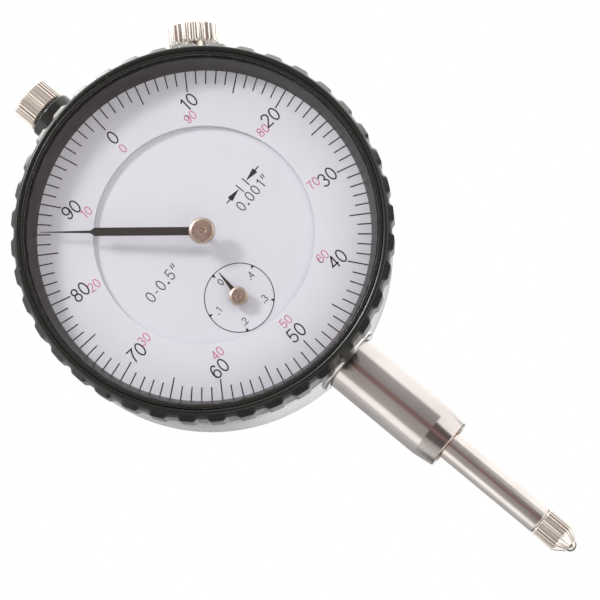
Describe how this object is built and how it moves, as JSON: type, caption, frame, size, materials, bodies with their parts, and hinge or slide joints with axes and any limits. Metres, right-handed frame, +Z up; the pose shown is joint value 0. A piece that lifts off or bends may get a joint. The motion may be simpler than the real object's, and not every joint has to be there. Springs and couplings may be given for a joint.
{
  "type": "dial indicator",
  "caption": "Plunger dial indicator: round dial with rotating scalloped bezel, clamping stem with sprung spindle and knurled contact, lifting cap, bezel clamp and lug back.",
  "frame": {"origin": "on the spindle axis, at the middle of the straight clamping length of the stem", "axes": "+Z up along the spindle towards the lifting cap, the dial faces -Y, +X to the right of someone reading the dial, the lug points to +Y"},
  "size_m": [0.0612, 0.0422, 0.1167],
  "materials": {
    "case_metal": "die-cast and satin plated",
    "screw_steel": "turned",
    "satin_steel": "ground and polished",
    "nickel_plate": "nickel plated, knurled",
    "movement_brass": "machined",
    "blued_spring": "blued spring steel",
    "black_gloss": "gloss black",
    "black_rubber": "matt",
    "clear_crystal": "clear polished",
    "white_dial": "satin white print base",
    "black_hand": "satin black"
  },
  "bodies": {
    "case": {"case_body": "case_metal", "lug_back_cover": "case_metal", "back_cover_screw_1": "screw_steel", "back_cover_screw_2": "screw_steel", "back_cover_screw_3": "screw_steel", "back_cover_screw_4": "screw_steel", "stem": "satin_steel", "stem_bush": "movement_brass", "upper_bush": "black_gloss", "bezel_snap_ring": "screw_steel", "inner_dial": "white_dial", "dial_foot_1": "movement_brass", "dial_foot_2": "movement_brass", "movement_plate": "movement_brass", "movement_screw_1": "screw_steel", "movement_screw_2": "screw_steel", "movement_screw_3": "screw_steel", "front_bridge": "movement_brass", "bridge_pillar_1": "movement_brass", "bridge_pillar_2": "movement_brass", "bridge_pillar_3": "movement_brass", "bridge_screw_1": "screw_steel", "bridge_screw_2": "screw_steel", "bridge_screw_3": "screw_steel", "rear_cock": "movement_brass", "rear_cock_screw_1": "screw_steel", "rear_cock_screw_2": "screw_steel", "guide_track": "screw_steel", "guide_track_screw_1": "screw_steel", "guide_track_screw_2": "screw_steel", "spring_anchor_post": "screw_steel", "return_spring": "screw_steel", "hairspring": "blued_spring", "hairspring_stud": "movement_brass"},
    "bezel": {"bezel_ring": "black_gloss", "reflector_ring": "black_gloss", "crystal_gasket": "black_rubber", "crystal": "clear_crystal", "crystal_retainer": "black_gloss", "dial_ring": "white_dial"},
    "spindle": {"spindle": "satin_steel", "lifting_cap": "nickel_plate", "guide_pin": "screw_steel", "contact_point": "nickel_plate", "contact_ball": "screw_steel"},
    "rack_pinion": {"rack_pinion_arbor": "screw_steel", "first_gear": "movement_brass", "counter_hand_hub": "nickel_plate", "counter_hand": "black_hand"},
    "centre_arbor": {"centre_pinion": "screw_steel", "main_hand_hub": "nickel_plate", "main_hand": "black_hand"},
    "takeup_wheel": {"takeup_arbor": "screw_steel", "takeup_gear": "movement_brass", "hairspring_collet": "movement_brass"},
    "clamp_tab": {"clamp_tab": "screw_steel"},
    "clamp_screw": {"clamp_screw": "nickel_plate"}
  },
  "joints": [
    {"name": "spindle_slide", "type": "slide", "parent": "case", "child": "spindle", "axis": [0, 0, 1], "range_m": [0, 0.0127], "stiffness_N_per_m": 30, "springref_m": -0.03, "deforming": ["return_spring"]},
    {"name": "rack_pinion_turn", "type": "hinge", "parent": "case", "child": "rack_pinion", "pos_m": [-0.0041, 0, 0.0276], "axis": [0, -1, 0], "range_deg": [0, 360.1]},
    {"name": "main_hand_turn", "type": "hinge", "parent": "case", "child": "centre_arbor", "pos_m": [0, 0, 0.0385], "axis": [0, 1, 0], "range_deg": [0, 1800.5]},
    {"name": "takeup_turn", "type": "hinge", "parent": "case", "child": "takeup_wheel", "pos_m": [0.00599, 0, 0.04849], "axis": [0, -1, 0], "range_deg": [0, 360.1]},
    {"name": "bezel_turn", "type": "hinge", "parent": "case", "child": "bezel", "pos_m": [0, 0, 0.0385], "axis": [0, 1, 0], "continuous": true},
    {"name": "clamp_tab_slide", "type": "slide", "parent": "case", "child": "clamp_tab", "axis": [-0.7071, 0, -0.7071], "range_m": [-0.00075, 0.000208]},
    {"name": "clamp_screw_turn", "type": "hinge", "parent": "clamp_tab", "child": "clamp_screw", "pos_m": [0.02121, 0, 0.05971], "axis": [-0.7071, 0, -0.7071], "range_deg": [-540.5, 150.5]}
  ],
  "couplings": [
    {"joint": "rack_pinion_turn", "follows": "spindle_slide", "rad_per_m": 494.74},
    {"joint": "main_hand_turn", "follows": "spindle_slide", "rad_per_m": 2473.7},
    {"joint": "takeup_turn", "follows": "spindle_slide", "rad_per_m": 494.74},
    {"joint": "clamp_screw_turn", "follows": "clamp_tab_slide", "rad_per_m": 12566}
  ]
}
